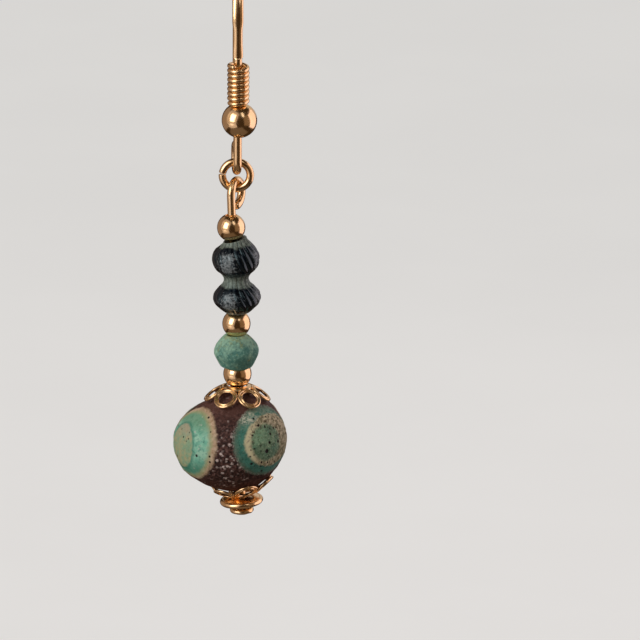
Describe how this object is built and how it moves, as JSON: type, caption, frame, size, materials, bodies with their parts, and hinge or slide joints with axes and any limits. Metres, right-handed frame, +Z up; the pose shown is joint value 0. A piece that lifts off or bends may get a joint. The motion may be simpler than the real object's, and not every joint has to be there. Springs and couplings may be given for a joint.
{
  "type": "beaded drop earring",
  "caption": "Drop earring on a fish-hook ear wire: a jump ring carries a head pin strung with metal beads, a ribbed glass bead, a matt bicone and a large eye bead between pierced petal caps.",
  "frame": {"origin": "underside of the hook's crown, where it rests in the ear", "axes": "+Z up as it hangs, -Y to the front, away from the head, +X to the viewer's right"},
  "size_m": [0.0097, 0.0121, 0.0478],
  "materials": {
    "hook_metal": "gloss",
    "ring_metal": "gloss",
    "pin_metal": "gloss",
    "bead_metal": "gloss",
    "cap_metal": "gloss",
    "melon_glass": "gloss",
    "turquoise_ceramic": "matte",
    "eye_glass": "satin"
  },
  "bodies": {
    "hook": {"ear_hook": "hook_metal", "hook_coil": "hook_metal", "hook_ball": "hook_metal"},
    "ring": {"jump_ring": "ring_metal"},
    "drop": {"head_pin": "pin_metal", "gold_bead_top": "bead_metal", "melon_bead": "melon_glass", "gold_bead_middle": "bead_metal", "turquoise_bead": "turquoise_ceramic", "gold_bead_lower": "bead_metal", "cap_top": "cap_metal", "eye_bead": "eye_glass", "cap_bottom": "cap_metal", "saucer_spacer": "bead_metal"}
  },
  "joints": [
    {"name": "ring_swing", "type": "hinge", "parent": "hook", "child": "ring", "pos_m": [0.00012, -0.00215, -0.01708], "axis": [0, 1, 0], "range_deg": [-40, 40]},
    {"name": "drop_swing", "type": "hinge", "parent": "ring", "child": "drop", "pos_m": [0.00012, -0.00215, -0.01872], "axis": [1, 0, 0], "range_deg": [-40, 40]}
  ]
}
